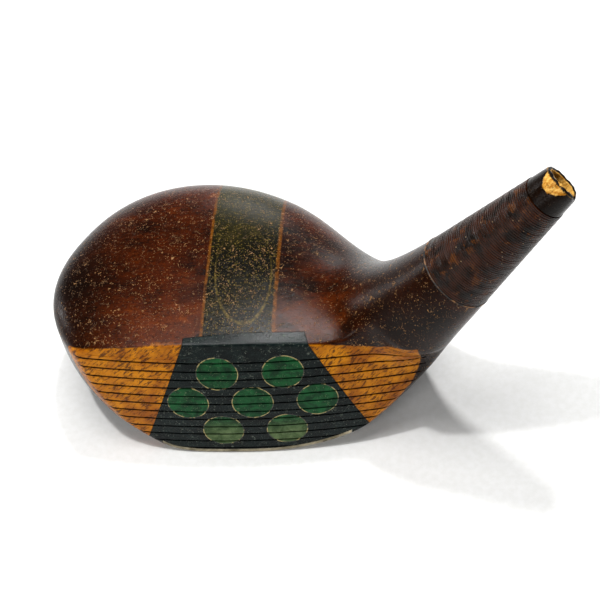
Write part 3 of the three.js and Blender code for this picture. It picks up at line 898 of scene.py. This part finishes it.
def insert_horn():
    p = Paint("dark_insert")
    cloud = p.noise(5, 5, 0.65)
    fine = p.noise(0.6, 4, 0.7)
    streak = p.noise(0.5, 3, 0.6, (9, 1, 1))
    color = p.mix(p.rise(cloud, 0.3, 0.7), srgb(2, 7, 7), srgb(16, 27, 26))
    color = p.mix(p.times(p.rise(streak, 0.56, 0.7), 0.5), color, srgb(40, 54, 50))
    marks = p.math("MAXIMUM", p.specks(1, 0.2, 0.42), p.specks(3.4, 0.46, 0.4))
    marks = p.math("MAXIMUM", marks, p.math("MAXIMUM", p.scratches(2.2, 0.45), p.scratches(1, 0.42)))
    color = p.mix(p.times(marks, 0.5), color, srgb(112, 120, 108))
    color = p.mix(p.times(p.grooves(), 0.85), color, srgb(3, 5, 5))
    rough = p.add(p.rise(fine, 0.3, 0.7, 0.2, 0.32), p.times(marks, 0.2))
    rough = p.add(rough, p.rise(p.past_ball(), -0.6, -1.4, 0, -0.08))
    height = p.add(p.times(fine, 0.4), p.add(p.times(streak, 0.2), p.times(marks, -0.4)))
    return p.finish(color, rough, height, 0.13, specular=0.1)


def peg_green():
    p = Paint("green_pegs")
    cloud = p.noise(3, 5, 0.65, twist=0.6)
    fine = p.noise(0.5, 4, 0.7)
    color = p.mix(p.rise(cloud, 0.32, 0.68), srgb(2, 40, 18), srgb(20, 84, 42))
    olive = p.mix(p.rise(cloud, 0.3, 0.7), srgb(48, 70, 34), srgb(96, 116, 74))
    color = p.mix(p.rise(p.z, 15, 8), color, olive)
    color = p.mix(p.times(p.rise(fine, 0.58, 0.7), 0.7), color, srgb(10, 30, 14))
    marks = p.math("MAXIMUM", p.specks(1, 0.18, 0.35), p.scratches(1.8, 0.44))
    color = p.mix(p.times(marks, 0.45), color, srgb(130, 150, 108))
    color = p.mix(p.times(p.grooves(), 0.6), color, srgb(3, 12, 7))
    rough = p.rise(fine, 0.3, 0.7, 0.26, 0.4)
    height = p.add(p.times(fine, 0.5), p.times(marks, -0.4))
    return p.finish(color, rough, height, 0.13, specular=0.1)


def glue_cream():
    p = Paint("glue_line")
    kept = p.rise(p.noise(2.6, 4, 0.6), 0.44, 0.56)
    fine = p.noise(0.4, 3, 0.6)
    color = p.mix(kept, srgb(22, 34, 26), srgb(168, 152, 96))
    color = p.mix(p.rise(fine, 0.5, 0.7, 0, 0.5), color, srgb(86, 78, 44))
    return p.finish(color, p.rise(fine, 0.3, 0.7, 0.5, 0.7), fine, 0.1)


def worn_metal(name, dark, light, metal_rough):
    p = Paint(name)
    cloud = p.noise(6, 5, 0.6)
    brushed = p.noise(0.35, 3, 0.6, (30, 1, 1))
    fine = p.noise(0.6, 4, 0.7)
    color = p.mix(p.rise(cloud, 0.35, 0.65), dark, light)
    stain = p.rise(p.noise(2, 5, 0.7), 0.58, 0.7)
    color = p.mix(p.times(stain, 0.6), color, tuple(0.3 * part for part in dark))
    rough = p.add(p.rise(brushed, 0.3, 0.7, metal_rough, metal_rough + 0.15), p.times(stain, 0.2))
    height = p.add(p.times(brushed, 0.5), p.times(fine, 0.3))
    return p.finish(color, rough, height, 0.08, metal=1.0)


def dark_thread():
    p = Paint("lacquered_thread")
    cloud = p.noise(4, 4, 0.6)
    fine = p.noise(0.5, 4, 0.7)
    fibre = p.noise(0.16, 2, 0.6)
    color = p.mix(p.rise(cloud, 0.35, 0.65), srgb(15, 6, 2), srgb(54, 23, 7))
    amber = p.rise(p.noise(3.2, 4, 0.6), 0.56, 0.66)
    color = p.mix(p.times(amber, 0.5), color, srgb(104, 58, 18))
    marks = p.specks(1.2, 0.22, 0.3)
    color = p.mix(p.times(marks, 0.6), color, srgb(170, 140, 104))
    # Painted shade: dark lines in the valleys between the turns of thread.
    angle = p.math("ARCTAN2", p.from_foot(NECK_UP), p.from_foot(NECK_BACK))
    turn = p.times(angle, -1 / (2 * math.pi))
    phase = p.math("FRACT", p.add(p.times(p.from_foot(NECK_AXIS), 1 / THREAD_PITCH), turn))
    valley_shade = p.rise(p.math("ABSOLUTE", p.add(phase, -0.5)), 0.26, 0.44)
    color = p.mix(p.times(valley_shade, 0.85), color, srgb(4, 2, 1))
    rough = p.rise(fine, 0.3, 0.7, 0.16, 0.28)
    return p.finish(color, rough, p.add(p.times(fine, 0.5), p.times(fibre, 0.4)), 0.12, specular=0.16)


def pale_cord():
    p = Paint("winding_edge")
    fine = p.noise(0.5, 4, 0.7)
    kept = p.rise(p.noise(2.4, 3, 0.6), 0.47, 0.6)
    color = p.mix(kept, srgb(12, 7, 4), srgb(142, 98, 54))
    return p.finish(color, p.rise(fine, 0.3, 0.7, 0.4, 0.6), fine, 0.1)


def floor_paper():
    p = Paint("floor")
    fine = p.noise(2, 3, 0.6)
    color = p.mix(p.rise(fine, 0.3, 0.7), srgb(238, 238, 236), srgb(244, 244, 243))
    return p.finish(color, p.rise(fine, 0.3, 0.7, 0.7, 0.8), fine, 0.02, specular=0.2)


# ---------------------------------------------------------------- scene


def settle(piece, material, slot, *nodes):
    """Brings a finished piece to metres, smooths it, and ties it to the frame."""
    piece.data.transform(Matrix.Scale(MM, 4))
    piece.data.shade_smooth()
    piece.data.set_sharp_from_angle(angle=math.radians(32))
    piece.data.materials.clear()
    piece.data.materials.append(material)
    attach(piece, "root")
    if nodes:
        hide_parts(*nodes)


def build_head():
    head = head_blank()
    body = copy_of(head, "body")
    tools = score_tools()

    insert = copy_of(head, "insert")
    slab = insert_block(0)
    combine(insert, slab, "INTERSECT")
    cutter = insert_block(INSERT_GAP)
    combine(head, cutter, "DIFFERENCE")

    places = peg_places()
    pegs = []
    rings = []
    for place in places:
        peg = face_dowel(place, PEG_RADIUS, PEG_DEPTH)
        pegs.append(peg)
        ring = face_dowel(place, PEG_RADIUS + GLUE_WIDTH - 0.02, 3)
        hollow = face_dowel(place, PEG_RADIUS + 0.02, 4)
        combine(ring, hollow, "DIFFERENCE")
        discard(hollow)
        rings.append(ring)
    for place, peg, ring in zip(places, pegs, rings):
        combine(peg, body, "INTERSECT")
        combine(ring, body, "INTERSECT")
        hole = face_dowel(place, PEG_RADIUS + GLUE_WIDTH, 3)
        deep_hole = face_dowel(place, PEG_RADIUS + 0.1, PEG_DEPTH + 0.1)
        combine(insert, hole, "DIFFERENCE")
        combine(insert, deep_hole, "DIFFERENCE")
        combine(head, deep_hole, "DIFFERENCE")
        discard(hole, deep_hole)

    lifted = copy_of(body, "lifted")
    lifted.data.transform(Matrix.Translation((0, 0, PLATE_THICKNESS)))
    plate = plate_block(0)
    combine(plate, body, "INTERSECT")
    combine(plate, lifted, "DIFFERENCE")
    recess = plate_block(0.12)
    lifted.data.transform(Matrix.Translation((0, 0, 0.1)))
    combine(recess, lifted, "DIFFERENCE")
    combine(head, recess, "DIFFERENCE")
    combine(insert, recess, "DIFFERENCE")
    for piece in pegs + rings:
        combine(piece, recess, "DIFFERENCE")
    pocket = lathe("pocket", [(POCKET_RADIUS, -1), (POCKET_RADIUS, POCKET_TOP)], 64)
    stand_on_sole(pocket, WEIGHT_PLACE)
    combine(head, pocket, "DIFFERENCE")
    for place in SCREW_PLACES:
        hole = screw_hole(place)
        combine(head, hole, "DIFFERENCE")
        combine(plate, hole, "DIFFERENCE")
        discard(hole)

    scored(head, tools)
    scored(insert, tools)
    for piece in pegs + rings:
        scored(piece, tools)
    discard(body, lifted, recess, pocket, slab, cutter, *tools)
    return head, insert, pegs, rings, plate


def join_pieces(name, pieces):
    points = []
    faces = []
    for piece in pieces:
        first = len(points)
        points += [vertex.co[:] for vertex in piece.data.vertices]
        faces += [tuple(first + corner for corner in face.vertices) for face in piece.data.polygons]
    discard(*pieces)
    return new_piece(name, points, faces)


def add_camera():
    camera = bpy.data.objects.new("camera", bpy.data.cameras.new("camera"))
    camera.data.lens = CAMERA_LENS
    camera.data.clip_start = 0.01
    right = CAMERA_UP.cross(CAMERA_BACK)
    turn = Matrix((right, CAMERA_UP, CAMERA_BACK)).transposed().to_4x4()
    spot = Vector(CAMERA_TARGET * MM) + CAMERA_BACK * CAMERA_DISTANCE * MM
    camera.matrix_world = Matrix.Translation(spot) @ turn
    bpy.context.scene.collection.objects.link(camera)
    bpy.context.scene.camera = camera


def add_light(name, spot, aim, size, power):
    data = bpy.data.lights.new(name, "AREA")
    data.shape = "DISK"
    data.size = size
    data.energy = power
    light = bpy.data.objects.new(name, data)
    light.location = spot
    light.rotation_euler = (Vector(spot) - Vector(aim)).to_track_quat("Z", "Y").to_euler()
    bpy.context.scene.collection.objects.link(light)


def add_studio():
    half = FLOOR_HALF
    corners = [(-half, -half, 0), (half, -half, 0), (half, half, 0), (-half, half, 0)]
    floor = new_piece("floor", corners, [(0, 1, 2, 3)])
    floor.data.materials.append(floor_paper())
    for name, spot, size, power in STUDIO_LIGHTS:
        add_light(name, spot, STUDIO_AIM, size, power)
    world = bpy.data.worlds.new("studio")
    world.use_nodes = True
    world.node_tree.nodes["Background"].inputs["Color"].default_value = (1, 1, 1, 1)
    # The camera sees a paler sky than the one that lights the head.
    nodes = world.node_tree.nodes
    seen = nodes.new("ShaderNodeLightPath")
    strength = nodes.new("ShaderNodeMapRange")
    strength.inputs["To Min"].default_value = SKY_LIGHT
    strength.inputs["To Max"].default_value = SKY_SEEN
    world.node_tree.links.new(seen.outputs["Is Camera Ray"], strength.inputs["Value"])
    world.node_tree.links.new(strength.outputs[0], nodes["Background"].inputs["Strength"])
    bpy.context.scene.world = world
    bpy.context.scene.view_settings.view_transform = "Standard"


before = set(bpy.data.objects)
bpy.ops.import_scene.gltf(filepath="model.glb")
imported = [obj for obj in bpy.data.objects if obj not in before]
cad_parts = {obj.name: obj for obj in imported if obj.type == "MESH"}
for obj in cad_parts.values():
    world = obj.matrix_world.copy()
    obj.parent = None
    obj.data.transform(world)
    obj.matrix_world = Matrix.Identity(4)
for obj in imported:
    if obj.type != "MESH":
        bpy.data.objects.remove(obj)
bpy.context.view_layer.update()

head, insert, pegs, rings, plate = build_head()
settle(head, lacquered_wood(), "wood", "head_block")
settle(insert, insert_horn(), "insert", "face_insert")
green = peg_green()
for i, peg in enumerate(pegs):
    peg.name = f"peg_{i + 1}"
    settle(peg, green, "peg", f"face_peg_{i + 1}")
settle(join_pieces("glue_lines", rings), glue_cream(), "insert")
plate.name = "plate"
settle(plate, worn_metal("plate_metal", srgb(104, 96, 76), srgb(172, 162, 138), 0.3), "plate", "sole_plate")
screw_metal = worn_metal("screw_metal", srgb(110, 88, 44), srgb(180, 152, 92), 0.3)
for i, place in enumerate(SCREW_PLACES):
    screw = sole_screw(f"screw_{i + 1}", place, i * SCREW_TURN)
    settle(screw, screw_metal, "screw", f"sole_screw_{i + 1}")
settle(whipping(), dark_thread(), "thread", "whipping")
settle(base_ring(), pale_cord(), "thread")

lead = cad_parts["sole_weight"]
lead.data.materials.clear()
lead.data.materials.append(worn_metal("lead", srgb(64, 64, 68), srgb(112, 112, 116), 0.5))

add_camera()
add_studio()
